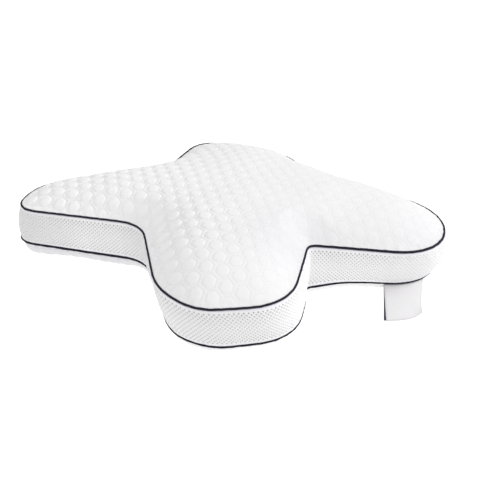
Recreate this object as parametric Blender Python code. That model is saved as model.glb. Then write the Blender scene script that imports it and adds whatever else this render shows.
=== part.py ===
"""Cervical pillow with four lobes: one filled cushion with a crowned top, a mesh band round its side,
dark piping along the upper and the lower seam, and a bare label sewn into the lower seam."""

import math
from collections import namedtuple

import bmesh
import bpy
import numpy as np
from mathutils import Vector
from mathutils.geometry import delaunay_2d_cdt

# Heights above the surface that the pillow rests on, in metres
SEAM_LOW = 0.024          # lower seam, where the band meets the bottom panel
BAND_HEIGHT = 0.057       # from the lower seam to the upper seam
SEAM_HIGH = SEAM_LOW + BAND_HEIGHT
CROWN_LIMIT = 0.044       # the top panel's rise over its rim nears this where the pillow is fullest
CROWN_SPREAD = 0.140      # fullness, as worked out below, over which it comes near to it
RIM_SAG = 0.48            # share of that rise which the seam pulls down again at the rim
SAG_SPREAD = 0.045        # fullness over which the pull dies away
FLAT_FULLNESS = 0.095     # from this fullness inwards the bottom panel lies flat on the surface
FLAT_LEAN = (0.19, -0.20)   # change of that for each metre to the right and to the rear, because the
FLAT_LEAST = 0.035          # belly is fuller under the left wing than under the front and the right

# Band and piping
BAND_THICK = 0.0025
BAND_BULGE = 0.004        # how far the band swells out at half its height
PIPING_RADIUS = 0.0017
GAP = 0.0003              # kept between neighbouring pieces
RIM_INSET = 0.0023        # the panels' rims lie this far inside the piping's centre line
RIM_RISE = 0.001          # and this far beyond its height
BAND_LEVELS = 4           # steps up the band's height

# Blisters of the top panel's knit: a honeycomb of rounded cells
CELL_PITCH = 0.0215
CELL_ANGLE = math.radians(-10)
CELL_ORIGIN = (-0.003, -0.001)
CELL_RELIEF = 0.0012      # a cell's middle stands this much above the panel, its corners as much below

# Rows of points inside each rim, before the panel's own field of points starts
RIM_ROWS = (0.004, 0.011)
FIELD_CLEARANCE = 0.006
UNDERSIDE_PITCH = 0.024
FIELD_REACH = (0.32, 0.27)   # half the size of the area that the field covers

# Outline sampling
DENSE_COUNT = 1200        # evenly spaced points of the smooth outline
LONGEST_STEP = 0.024
STEP_ANGLE = math.radians(19)
LARGEST_CUT = 0.48        # share of a straight run that a corner's arc may take up
ARC_STEPS = 12
RUN_STEPS = 24
CORNER_SMOOTHING = 0.006
SHIFT_SMOOTHING = 0.020

# Label: a folded strip sewn in under the lower piping, by the front corner of the right wing
LABEL_THICK = 0.001
LABEL_SPAN = ((0.221, -0.062), (0.278, -0.032))   # where its two ends meet the lower seam
LABEL_RUNS = (0.060, 0.055)   # how far its two ends reach out, seen from above
LABEL_HEADING = (-0.025, -1.0)
LABEL_CURL = 0.12         # share of its width that the curl of its free edge takes up
LABEL_CLEARANCE = 0.0008  # under its free edge
LABEL_DROP_POWER = 1.8    # over 1 makes it drop fast at the seam and level out further on
LABEL_COLUMNS = 6
LABEL_ROWS = 7

# The upper seam, seen from above: corners joined by straight runs and rounded by arcs. The two
# columns but one say how far the lower seam is shifted from the upper one at that corner, and the
# last one how much further than elsewhere the band swells out there.
Corner = namedtuple("Corner", "name x y radius under_x under_y swell")
OUTLINE = (
    Corner("front point", -0.018, -0.246, 0.056, 0.015, 0.005, 0.000),
    Corner("front right", 0.089, -0.214, 0.077, 0.011, 0.007, 0.000),
    Corner("front lobe side", 0.1022, -0.1147, 0.050, 0.010, -0.003, 0.000),
    Corner("notch front right", 0.107, -0.075, 0.008, 0.000, -0.024, 0.000),
    Corner("right wing root", 0.142, -0.0728, 0.050, 0.006, 0.002, 0.000),
    Corner("right wing front", 0.286, -0.065, 0.082, 0.000, 0.010, 0.004),
    Corner("right wing rear", 0.313, 0.065, 0.083, -0.012, 0.004, 0.008),
    Corner("notch rear right", 0.107, 0.161, 0.025, 0.000, 0.000, 0.000),
    Corner("rear right", 0.061, 0.221, 0.059, 0.000, 0.000, 0.000),
    Corner("rear left", -0.088, 0.247, 0.050, 0.000, 0.000, 0.000),
    Corner("notch rear left", -0.124, 0.119, 0.020, 0.000, 0.000, 0.000),
    Corner("left wing rear", -0.297, 0.017, 0.085, -0.008, 0.000, 0.000),
    Corner("left wing front", -0.304, -0.064, 0.026, -0.007, 0.005, 0.000),
    Corner("notch front left", -0.121, -0.067, 0.045, 0.008, -0.002, 0.000),
    Corner("front left", -0.071, -0.210, 0.084, 0.018, -0.007, 0.000),
)

SHARP_ANGLE = math.radians(50)   # edges that turn more than this stay sharp

# Colours and finishes: red, green, blue, roughness
FINISHES = {
    "knit": (0.84, 0.84, 0.86, 0.85),
    "mesh": (0.80, 0.80, 0.82, 0.80),
    "piping": (0.012, 0.014, 0.040, 0.55),
    "label": (0.88, 0.87, 0.87, 0.45),
}


def clear_scene():
    for item in list(bpy.data.objects):
        bpy.data.objects.remove(item, do_unlink=True)


def make_material(name):
    red, green, blue, roughness = FINISHES[name]
    material = bpy.data.materials.new(name)
    material.use_nodes = True
    shader = material.node_tree.nodes["Principled BSDF"]
    shader.inputs["Base Color"].default_value = (red, green, blue, 1.0)
    shader.inputs["Roughness"].default_value = roughness
    shader.inputs["Metallic"].default_value = 0.0
    return material


def unit(vectors):
    return vectors / np.linalg.norm(vectors, axis=-1, keepdims=True)


def rounded_corners():
    """The outline as many short steps: an arc at each corner and a straight run to the next one."""
    places = np.array([(row.x, row.y) for row in OUTLINE])
    shifts = np.array([(row.under_x, row.under_y, row.swell) for row in OUTLINE])
    count = len(OUTLINE)
    arcs = []
    for index, row in enumerate(OUTLINE):
        back = places[index - 1] - places[index]
        ahead = places[(index + 1) % count] - places[index]
        back_length = np.linalg.norm(back)
        ahead_length = np.linalg.norm(ahead)
        back = back / back_length
        ahead = ahead / ahead_length
        half = math.acos(float(back @ ahead)) / 2
        cut = min(row.radius / math.tan(half), LARGEST_CUT * back_length, LARGEST_CUT * ahead_length)
        radius = cut * math.tan(half)
        centre = places[index] + unit(back + ahead) * radius / math.sin(half)
        first = places[index] + back * cut - centre
        last = places[index] + ahead * cut - centre
        start = math.atan2(first[1], first[0])
        turn = (math.atan2(last[1], last[0]) - start + math.pi) % math.tau - math.pi
        arcs.append((centre, radius, start, turn))
    points = []
    point_shifts = []
    for index, (centre, radius, start, turn) in enumerate(arcs):
        for step in range(ARC_STEPS + 1):
            angle = start + turn * step / ARC_STEPS
            points.append(centre + radius * np.array((math.cos(angle), math.sin(angle))))
            point_shifts.append(shifts[index])
        next_centre, next_radius, next_start, _ = arcs[(index + 1) % count]
        begin = points[-1]
        end = next_centre + next_radius * np.array((math.cos(next_start), math.sin(next_start)))
        for step in range(1, RUN_STEPS):
            share = step / RUN_STEPS
            points.append(begin * (1 - share) + end * share)
            point_shifts.append(shifts[index] * (1 - share) + shifts[(index + 1) % count] * share)
    return np.array(points), np.array(point_shifts)


def blur(values, perimeter, width):
    """Smooths closed rows of values along the outline, as a stitched edge does."""
    frequency = np.fft.rfftfreq(len(values), d=perimeter / len(values))
    damping = np.exp(-2 * (math.pi * frequency * width) ** 2)
    return np.fft.irfft(np.fft.rfft(values, axis=0) * damping[:, None], n=len(values), axis=0)


def smooth_outline():
    """The upper seam as evenly spaced points, and the shift and the swell at each of them."""
    points, shifts = rounded_corners()
    closed = np.vstack((points, points[:1]))
    closed_shifts = np.vstack((shifts, shifts[:1]))
    along = np.concatenate(((0.0,), np.cumsum(np.linalg.norm(np.diff(closed, axis=0), axis=1))))
    perimeter = along[-1]
    stations = np.linspace(0.0, perimeter, DENSE_COUNT, endpoint=False)
    even = np.stack([np.interp(stations, along, closed[:, axis]) for axis in (0, 1)], axis=1)
    even_shifts = np.stack([np.interp(stations, along, row) for row in closed_shifts.T], axis=1)
    return blur(even, perimeter, CORNER_SMOOTHING), blur(even_shifts, perimeter, SHIFT_SMOOTHING)


def outward_normals(curve):
    tangent = unit(np.roll(curve, -1, axis=0) - np.roll(curve, 1, axis=0))
    return np.stack((tangent[:, 1], -tangent[:, 0]), axis=1)


def chosen_points(curve):
    """Which of the dense points the solids use: more of them where the outline turns."""
    step = np.roll(curve, -1, axis=0) - curve
    length = np.linalg.norm(step, axis=1)
    heading = np.arctan2(step[:, 1], step[:, 0])
    turn = np.abs((np.roll(heading, -1) - heading + math.pi) % math.tau - math.pi)
    need = np.cumsum(length / LONGEST_STEP + turn / STEP_ANGLE)
    count = int(need[-1])
    return np.unique(np.searchsorted(need, (np.arange(count) + 0.5) * need[-1] / count))


class Seams:
    """The two seams and every ring between them, centred on the pillow's box."""

    def __init__(self):
        self.upper, shifts = smooth_outline()
        self.shift = shifts[:, :2]
        self.swell = shifts[:, 2:]
        low, high = self.reach()
        self.upper = self.upper - (low + high) / 2
        self.centre = (low + high) / 2
        self.chosen = chosen_points(self.upper)

    def dense(self, level, inset):
        """The closed curve at a level from 0, the lower seam, to 1, the upper seam."""
        curve = self.upper + self.shift * (1 - level)
        return curve + outward_normals(curve) * (self.swell * 4 * level * (1 - level) - inset)

    def reach(self):
        low = np.full(2, np.inf)
        high = np.full(2, -np.inf)
        for step in range(BAND_LEVELS + 1):
            level = step / BAND_LEVELS
            ring = self.dense(level, -max(bulge(level), PIPING_RADIUS))
            low = np.minimum(low, ring.min(axis=0))
            high = np.maximum(high, ring.max(axis=0))
        return low, high

    def ring(self, level, inset, height):
        points = self.dense(level, inset)[self.chosen]
        return np.column_stack((points, np.full(len(points), height)))


def bulge(level):
    return BAND_BULGE * 4 * level * (1 - level)


def fullness(points, rim):
    """How much room there is round a point: the harmonic mean of its distances to the rim in all
    directions. It is 0 on the rim and highest in the middle, as the swell of a filled panel is."""
    middle = (rim + np.roll(rim, -1, axis=0)) / 2
    step = np.roll(rim, -1, axis=0) - rim
    across = np.stack((step[:, 1], -step[:, 0]), axis=1)
    result = np.empty(len(points))
    for index, point in enumerate(points):
        away = middle - point
        squared = (away * away).sum(axis=1)
        nearest = math.sqrt(squared.min())
        total = ((away * across).sum(axis=1) / squared ** 1.5).sum()
        largest = math.pi * nearest
        result[index] = min(math.tau / total, largest) if total > 0 else largest
    return result


def nearest_distance(points, rim):
    return np.array([np.linalg.norm(rim - point, axis=1).min() for point in points])


def inside(points, rim):
    """Even and odd rule: a point is inside if a ray from it crosses the rim an odd number of times."""
    following = np.roll(rim, -1, axis=0)
    result = []
    for x, y in points:
        crosses = (rim[:, 1] > y) != (following[:, 1] > y)
        share = (y - rim[crosses, 1]) / (following[crosses, 1] - rim[crosses, 1])
        hits = rim[crosses, 0] + share * (following[crosses, 0] - rim[crosses, 0]) > x
        result.append(hits.sum() % 2 == 1)
    return np.array(result)


def honeycomb(pitch, with_corners):
    """Points of a honeycomb that covers the pillow: each cell's middle, and its corners if wanted.
    The third column is 1 at a middle and -1 at a corner."""
    reach = int(max(FIELD_REACH) / pitch) + 3
    row = np.array((math.cos(CELL_ANGLE), math.sin(CELL_ANGLE)))
    side = np.array((math.cos(CELL_ANGLE + math.pi / 3), math.sin(CELL_ANGLE + math.pi / 3)))
    corner = (row + side) / 3
    points = []
    for i in range(-2 * reach, 2 * reach + 1):
        for j in range(-2 * reach, 2 * reach + 1):
            middle = np.array(CELL_ORIGIN) + (row * i + side * j) * pitch
            points.append((*middle, 1.0))
            if with_corners:
                points.append((*(middle + corner * pitch), -1.0))
                points.append((*(middle + 2 * corner * pitch), -1.0))
    points = np.array(points)
    return points[(np.abs(points[:, :2]) < FIELD_REACH).all(axis=1)]


def top_height(points, rim, relief):
    room = fullness(points, rim)
    swell = CROWN_LIMIT * np.tanh(room / CROWN_SPREAD) * (1 - RIM_SAG * np.exp(-room / SAG_SPREAD))
    return SEAM_HIGH + RIM_RISE + swell + CELL_RELIEF * relief


def bottom_height(points, rim, _relief):
    """A quarter of an ellipse from the rim down to the flat part, which lies at height 0."""
    flat_from = np.maximum(FLAT_FULLNESS + points @ np.array(FLAT_LEAN), FLAT_LEAST)
    share = np.minimum(fullness(points, rim) / flat_from, 1.0)
    return (SEAM_LOW - RIM_RISE) * (1 - np.sqrt(1 - (1 - share) ** 2))


def add_ring(mesh, ring):
    return [mesh.verts.new(point) for point in ring]


def join_rings(mesh, first, second):
    """A band of faces between two closed rings of equally many points."""
    for index in range(len(first)):
        after = (index + 1) % len(first)
        mesh.faces.new((first[index], first[after], second[after], second[index]))


def fill_panel(mesh, seams, level, rim_verts, field, height_of):
    """Rows of points inside the rim, and then the field of points, joined by triangles."""
    rim = seams.dense(level, RIM_INSET)
    row = rim_verts
    for inset in RIM_ROWS:
        points = seams.dense(level, RIM_INSET + inset)[seams.chosen]
        heights = height_of(points, rim, np.zeros(len(points)))
        next_row = add_ring(mesh, np.column_stack((points, heights)))
        join_rings(mesh, row, next_row)
        row = next_row
    edge = np.array([(vert.co.x, vert.co.y) for vert in row])
    field = field[inside(field[:, :2], edge)]
    field = field[nearest_distance(field[:, :2], seams.dense(level, RIM_INSET + RIM_ROWS[-1]))
                  > FIELD_CLEARANCE]
    heights = height_of(field[:, :2], rim, field[:, 2])
    verts = row + [mesh.verts.new((x, y, z)) for (x, y, _), z in zip(field, heights)]
    flat = [Vector((vert.co.x, vert.co.y)) for vert in verts]
    border = list(range(len(row)))
    _, _, faces, origins, _, _ = delaunay_2d_cdt(flat, [], [border], 1, 1e-7)
    for face in faces:
        mesh.faces.new([verts[origins[corner][0]] for corner in face])


def finish_mesh(name, mesh, material, smooth=True):
    bmesh.ops.recalc_face_normals(mesh, faces=mesh.faces)
    data = bpy.data.meshes.new(name)
    mesh.to_mesh(data)
    mesh.free()
    if smooth:
        data.shade_smooth()
        data.set_sharp_from_angle(angle=SHARP_ANGLE)
    item = bpy.data.objects.new(name, data)
    data.materials.append(material)
    bpy.context.scene.collection.objects.link(item)
    return item


def band_heights():
    low = SEAM_LOW + PIPING_RADIUS + GAP
    high = SEAM_HIGH - PIPING_RADIUS - GAP
    return [(level, low + (high - low) * level) for level in np.linspace(0, 1, BAND_LEVELS + 1)]


def make_cushion(seams, material):
    """The filled body: crowned top panel, sides drawn in behind the band, bottom panel flat below."""
    mesh = bmesh.new()
    top_rim = add_ring(mesh, seams.ring(1, RIM_INSET, SEAM_HIGH + RIM_RISE))
    fill_panel(mesh, seams, 1, top_rim, honeycomb(CELL_PITCH, True), top_height)
    row = top_rim
    for level, height in reversed(band_heights()):
        inset = BAND_THICK + GAP - bulge(level)
        next_row = add_ring(mesh, seams.ring(level, inset, height))
        join_rings(mesh, row, next_row)
        row = next_row
    bottom_rim = add_ring(mesh, seams.ring(0, RIM_INSET, SEAM_LOW - RIM_RISE))
    join_rings(mesh, row, bottom_rim)
    fill_panel(mesh, seams, 0, bottom_rim, honeycomb(UNDERSIDE_PITCH, False), bottom_height)
    bmesh.ops.triangulate(mesh, faces=mesh.faces)
    return finish_mesh("cushion", mesh, material)


def make_side_band(seams, material):
    """The mesh band: an endless strip between the seams that swells out a little."""
    mesh = bmesh.new()
    outer = []
    inner = []
    for level, height in band_heights():
        outer.append(add_ring(mesh, seams.ring(level, -bulge(level), height)))
        inner.append(add_ring(mesh, seams.ring(level, BAND_THICK - bulge(level), height)))
    loop = outer + inner[::-1]
    for index in range(len(loop)):
        join_rings(mesh, loop[index], loop[(index + 1) % len(loop)])
    bmesh.ops.triangulate(mesh, faces=mesh.faces)
    return finish_mesh("side_band", mesh, material)


def make_piping(name, seams, level, height, material):
    """A round cord along a seam: a closed curve with a bevel."""
    curve = bpy.data.curves.new(name, "CURVE")
    curve.dimensions = "3D"
    curve.twist_mode = "Z_UP"
    curve.bevel_depth = PIPING_RADIUS
    curve.bevel_resolution = 1
    ring = seams.ring(level, 0.0, height)
    spline = curve.splines.new("POLY")
    spline.points.add(len(ring) - 1)
    for point, place in zip(spline.points, ring):
        point.co = (*place, 1.0)
    spline.use_cyclic_u = True
    spline.use_smooth = True
    item = bpy.data.objects.new(name, curve)
    curve.materials.append(material)
    bpy.context.scene.collection.objects.link(item)
    return item


def label_height(share):
    """Height of the label's middle surface: it drops from the seam and levels out at its free edge."""
    start = SEAM_LOW - PIPING_RADIUS - GAP - LABEL_THICK / 2
    end = LABEL_CLEARANCE + LABEL_THICK / 2
    return end + (start - end) * (1 - share) ** LABEL_DROP_POWER


def make_label(seams, material):
    lower = seams.dense(0, 0.0)
    ends = [int(np.linalg.norm(lower - np.array(end), axis=1).argmin()) for end in LABEL_SPAN]
    middle = (lower[ends[0]] + lower[ends[1]]) / 2
    heading = unit(np.array(LABEL_HEADING))
    mesh = bmesh.new()
    rows = []
    for row in range(LABEL_ROWS):
        share = row / (LABEL_ROWS - 1)
        verts = []
        for column in range(LABEL_COLUMNS):
            index = round(ends[0] + (ends[1] - ends[0]) * column / (LABEL_COLUMNS - 1))
            run = LABEL_RUNS[0] + (LABEL_RUNS[1] - LABEL_RUNS[0]) * column / (LABEL_COLUMNS - 1)
            place = lower[index] + heading * run * share
            place = place + (middle - lower[index]) * LABEL_CURL * share
            verts.append(mesh.verts.new((place[0], place[1], label_height(share))))
        rows.append(verts)
    for first, second in zip(rows, rows[1:]):
        for column in range(LABEL_COLUMNS - 1):
            mesh.faces.new((first[column], second[column], second[column + 1], first[column + 1]))
    item = finish_mesh("label", mesh, material)
    solid = item.modifiers.new("cloth thickness", "SOLIDIFY")
    solid.thickness = LABEL_THICK
    solid.offset = 0.0
    return item


def main():
    clear_scene()
    seams = Seams()
    make_cushion(seams, make_material("knit"))
    make_side_band(seams, make_material("mesh"))
    piping = make_material("piping")
    make_piping("piping_top", seams, 1, SEAM_HIGH, piping)
    make_piping("piping_bottom", seams, 0, SEAM_LOW, piping)
    make_label(seams, make_material("label"))


main()
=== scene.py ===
"""Looks of the cervical pillow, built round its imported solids: a blistered knit cover over the filled
body, a spacer mesh band with real holes, a dark piping on both seams and a bare folded label."""

import math
from collections import namedtuple

import bpy
import numpy as np
from mathutils import Matrix, Vector
from mathutils.geometry import delaunay_2d_cdt


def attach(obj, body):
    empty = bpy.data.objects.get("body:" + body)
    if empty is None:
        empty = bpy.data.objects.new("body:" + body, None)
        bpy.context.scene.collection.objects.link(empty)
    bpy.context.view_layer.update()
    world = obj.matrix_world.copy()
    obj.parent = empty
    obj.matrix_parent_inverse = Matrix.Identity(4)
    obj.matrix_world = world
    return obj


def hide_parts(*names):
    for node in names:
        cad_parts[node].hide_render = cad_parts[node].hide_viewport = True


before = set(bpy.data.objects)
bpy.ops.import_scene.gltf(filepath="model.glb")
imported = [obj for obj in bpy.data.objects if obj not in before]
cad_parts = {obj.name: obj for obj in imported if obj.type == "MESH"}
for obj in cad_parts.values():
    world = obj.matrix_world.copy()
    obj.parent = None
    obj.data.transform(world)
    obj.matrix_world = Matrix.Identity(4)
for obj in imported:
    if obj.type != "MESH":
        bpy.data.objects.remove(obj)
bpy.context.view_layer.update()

MM = 0.001

# The sizes below, down to the outline, are those of the solids
SEAM_LOW = 0.024
BAND_HEIGHT = 0.057
SEAM_HIGH = SEAM_LOW + BAND_HEIGHT
CROWN_LIMIT = 0.044
CROWN_SPREAD = 0.140
RIM_SAG = 0.48
SAG_SPREAD = 0.045
FLAT_FULLNESS = 0.095
FLAT_LEAN = (0.19, -0.20)
FLAT_LEAST = 0.035
BAND_BULGE = 0.004
PIPING_RADIUS = 0.0017
RIM_RISE = 0.001
BAND_LEVELS = 4
LABEL_SPAN = ((0.221, -0.062), (0.278, -0.032))
LABEL_RUNS = (0.060, 0.055)
LABEL_HEADING = (-0.025, -1.0)
LABEL_CURL = 0.12
LABEL_CLEARANCE = 0.0008
LABEL_THICK = 0.001
LABEL_DROP_POWER = 1.8

Corner = namedtuple("Corner", "name x y radius under_x under_y swell", defaults=(0.0, 0.0, 0.0))
OUTLINE = (
    Corner("front point", -0.018, -0.246, 0.056, 0.015, 0.005),
    Corner("front right", 0.089, -0.214, 0.077, 0.011, 0.007),
    Corner("front lobe side", 0.1022, -0.1147, 0.050, 0.010, -0.003),
    Corner("notch front right", 0.107, -0.075, 0.008, 0.000, -0.024),
    Corner("right wing root", 0.142, -0.0728, 0.050, 0.006, 0.002),
    Corner("right wing front", 0.286, -0.065, 0.082, 0.000, 0.010, 0.004),
    Corner("right wing rear", 0.313, 0.065, 0.083, -0.012, 0.004, 0.008),
    Corner("notch rear right", 0.107, 0.161, 0.025),
    Corner("rear right", 0.061, 0.221, 0.059),
    Corner("rear left", -0.088, 0.247, 0.050),
    Corner("notch rear left", -0.124, 0.119, 0.020),
    Corner("left wing rear", -0.297, 0.017, 0.085, -0.008, 0.000),
    Corner("left wing front", -0.304, -0.064, 0.026, -0.007, 0.005),
    Corner("notch front left", -0.121, -0.067, 0.045, 0.008, -0.002),
    Corner("front left", -0.071, -0.210, 0.084, 0.018, -0.007),
)
LARGEST_CUT = 0.48  # share of a straight run that a corner's arc may take up
ARC_STEPS = 12
RUN_STEPS = 24
DENSE_COUNT = 2400  # places of the rows that describe the seams
CORNER_SMOOTHING = 0.006
SHIFT_SMOOTHING = 0.020

# Knit cover
COVER_TUCK = 0.0012  # its rim lies this far inside the piping's centre line
RIM_SPACING = 0.0026
RIM_SKIP = 2  # the survey takes every second place of the rim
UNDER_SPACING = 0.0034
RIM_ROWS = (0.0011, 0.0024, 0.0040, 0.0060)
NET_CLEARANCE = 0.55  # the net keeps off the innermost row by this share of the rim's spacing
SIDE_LEVELS = np.linspace(1, 0, 7)[1:-1]
SIDE_GAP = 0.0006  # between the cover's side and the band's inner face
CELL_PITCH = 0.0215
CELL_ANGLE = math.radians(-10)
CELL_ORIGIN = (-0.003, -0.001)
CELL_ROUNDING = 0.0004  # how far the corners of a blister are rounded
PUFF_HEIGHT = 0.0018  # a blister stands this much above the groove round it
PUFF_START = 0.0022  # distance from the cell's border where the blister starts to rise
PUFF_WIDTH = 0.0017  # and over which it rises
PUFF_SHARE = 0.55  # this much of its height is the rise, and the rest a low dome
DOME_SHARE = 0.45
RIDGE_HEIGHT = 0.0012  # the narrow rib along the cell's border
RIDGE_WIDTH = 0.0011
RIDGE_SHADE = 0.6  # how light the rib is beside the blister in the grooves' painted shade
RELIEF_SINK = 0.0012  # puts the relief's mean height on the solid's surface
STITCH_ACROSS = 1.35  # in millimetres, as on the piece's map
STITCH_UP = 1.05
STITCH_SLANT = 1.1
CELL_DRIFT = 0.0010  # how far the knit's cells wander from an exact honeycomb
DRIFT_WAVES = (5, 0.30, 0.12)  # how many, the longest and the shortest
# The cover is looser, and its relief higher, on the left wing, the rear lobe and the front lobe's flank
LOOSE_SHARE = 0.68  # share of the relief in the middle
LOOSE_LEAN = (-4.2, 0.6)  # its change for each metre to the right and to the rear
LOOSE_RANGE = (0.34, 1.62)
FLANK_PLACE = (-0.070, -0.110)
FLANK_MORE = 1.20
# Painted shade that greys the top's yarn: a share that sets in from the left wing, and x, y and how
# much more; a negative amount takes painted shade away
PAINTED_SHADE_SHARE = 0.22
PAINTED_SHADE_FROM = -0.14
PAINTED_SHADE_FADE = 0.12
PAINTED_SHADE_PLACES = ((0.086, -0.100, 0.60), (0.270, -0.030, 0.32), (-0.070, -0.110, -0.14))
PLACE_REACH = 0.050
# Painted shade under the pillow greys the bottom panel's yarn, and from here to the right that painted
# shade gets lighter
UNDER_LIGHTER = 0.85
UNDER_FROM = -0.10
UNDER_FADE = 0.12
FADE_START = 0.001  # the relief starts this far from the rim, where the seam holds it flat
FADE_WIDTH = 0.005
# Points of the top panel's mesh in each cell: distance from the cell's border, points on each side
CELL_RINGS = ((0.0008, 5), (0.0016, 5), (0.0024, 5), (0.0032, 4), (0.0042, 3), (0.0068, 2))
BORDER_POINTS = 5  # on each side of a cell's border
PUCKER_START = 0.0015
PUCKER_REACH = 0.007
# For the uneven waves along a seam: height, fewest and most turns, how many waves
PUCKER = (0.00035, 70, 210, 24)
SWAY_HEIGHT = 0.0006  # slow unevenness of the foam under the cover
TOP_SWAY_WAVES = (9, 0.22, 0.07)
UNDER_SWAY_WAVES = (9, 0.16, 0.05)
PRESSED_GROOVE = 0.7  # share of the groove's depth that is left where the pillow rests
FREE_SHARE = 0.3  # share of the belly's slope over which the blisters are pressed flat
FLATTEST = 0.02  # these three keep the slope's sums finite at the rim
NEAREST = 0.001
TOUCHING = 1e-6

# Spacer mesh of the band
HOLE_ACROSS = 0.0056  # pitch of the diagonal net along the band
HOLE_UP = 0.0054  # and up it
HOLE_REACH = 0.00155  # from a hole's middle to its rim, along the band
HOLE_DEPTH = 0.0012
YARN_RISE = 0.00022  # the crossings of the net stand this much proud
HOLE_SHADE = 0.25  # painted shade on a hole's rim, as a share of that at its bottom
HOLE_DIAGONAL = 0.86  # reach of a hole's rim between its four points
HOLE_SIZE = (0.80, 0.20)  # share of the reach in the band's middle, and what the seams add
HOLE_PAINTED_SHADE = (0.60, 0.40)  # the same for the painted shade at its bottom
BAND_INSET = 0.0012  # the band ends this far inside each seam's height
MARGIN = 0.0030  # plain strip beside each seam
# A small rolled fold next to the piping: how far down the strip, and how proud
MARGIN_PROFILE = ((0.0, -0.0016), (0.0005, -0.0002), (0.0010, 0.00040), (0.0016, 0.00050),
                  (0.0023, 0.00025))
BACKING = 0.0019  # the band's inner face lies this far behind its outer one
BACK_TUCK = 0.0008  # and its two edges this much further
BACK_LEVELS = (0.0, 0.25, 0.5, 0.75, 1.0)
BAND_SWAY = (0.00045, 12, 34, 12)
WRINKLE = (0.00030, 60, 190, 26)
WRINKLE_START = 0.003
WRINKLE_REACH = 0.011
WRINKLE_SLANT = 26  # dense places that a slow wave runs to the side from seam to seam
SEAM_SLANT = 0.8  # share of that for the wrinkles beside the seams
LEFT_TIP = -0.225  # beyond these places the holes' painted shade fades towards the wing tips
RIGHT_TIP = 0.185
TIP_FADE = 0.070
LEFT_FADES = 0.75  # by these shares
RIGHT_FADES = 0.55
# Painted light and shade along the band: how bright its yarn is from left to right, 0 for the darker
# and 1 for the brighter of its two tones
PAINTED_SHADING_PLACES = (-0.31, -0.27, -0.20, -0.15, -0.10, -0.05, 0.10, 0.13, 0.20, 0.31)
PAINTED_SHADING_SHARES = (0.00, 0.22, 0.82, 0.80, 0.00, 0.62, 0.72, 0.88, 0.88, 0.45)

# Piping
PIPING_STATIONS = 1100
PIPING_SIDES = 14
PIPING_WAVER = (0.00008, 50, 150, 20)
PIPING_RISE = (0.00010, 40, 120, 20)
PIPING_SWELL = (0.018, 80, 260, 24)
# How thick the two pipings look near these places, as a share of the solid's thickness
Run = namedtuple("Run", "name x y top low")
RUNS = (
    Run("front lobe", 0.02, -0.23, 0.78, 0.96),
    Run("right notch", 0.11, -0.08, 0.92, 0.95),
    Run("right wing front", 0.22, -0.07, 1.02, 0.84),
    Run("right tip", 0.30, 0.03, 1.15, 0.84),
    Run("right wing rear", 0.20, 0.12, 1.15, 1.00),
    Run("notch rear right", 0.10, 0.16, 0.72, 1.00),
    Run("rear lobe", 0.00, 0.24, 0.95, 1.00),
    Run("rear lobe left", -0.09, 0.21, 1.35, 1.00),
    Run("left wing rear root", -0.15, 0.09, 0.72, 1.00),
    Run("left wing rear", -0.25, 0.03, 0.72, 1.00),
    Run("left tip", -0.30, -0.04, 0.90, 1.20),
    Run("left wing front", -0.22, -0.09, 0.76, 1.36),
    Run("front lobe left", -0.09, -0.16, 0.82, 1.05),
)
RUN_BLEND = 0.03

# Label
LABEL_FLAT = (0.058, 0.062)
LABEL_PLY = 0.0004
LABEL_COLUMNS = 31
LABEL_ROWS = 29
LABEL_WAIST = 0.0011  # how far its two sides are drawn in half way out
LABEL_RIPPLE = 0.0007
RIPPLE_TURN = 1.7  # half waves across it
RIPPLE_START = 0.5
CORNER_LIFT = 0.0009
SELVEDGE = 0.04  # share of its width and length

# Room and camera
FLOOR_HALF = 6.0
FLOOR_DROP = 0.0002
FLOOR_GLOW = 1.10
ROOM_LIGHT = 0.60
Lamp = namedtuple("Lamp", "name place aim size power")
LAMPS = (
    Lamp("key from the right", (1.75, -0.5, 0.95), (0.05, 0.0, 0.05), 0.9, 5),
    Lamp("low key from the rear right", (3.0, 0.85, 1.75), (0.0, 0.0, 0.05), 1.0, 46),
    Lamp("soft top", (-0.7, -0.3, 2.1), (0.0, 0.0, 0.0), 2.0, 16),
)
CAMERA_PLACE = (0.06837, -0.81464, 0.52239)
CAMERA_AZIMUTH = math.radians(4)
CAMERA_ELEVATION = math.radians(31)
CAMERA_ROLL = math.radians(4.2)
CAMERA_LENS = 48
CAMERA_SENSOR = 36


def unit(vectors):
    return vectors / np.linalg.norm(vectors, axis=-1, keepdims=True)


def heading_of(angle):
    return np.array((math.cos(angle), math.sin(angle)))


def smooth_step(values):
    share = np.clip(values, 0.0, 1.0)
    return share * share * (3 - 2 * share)


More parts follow.
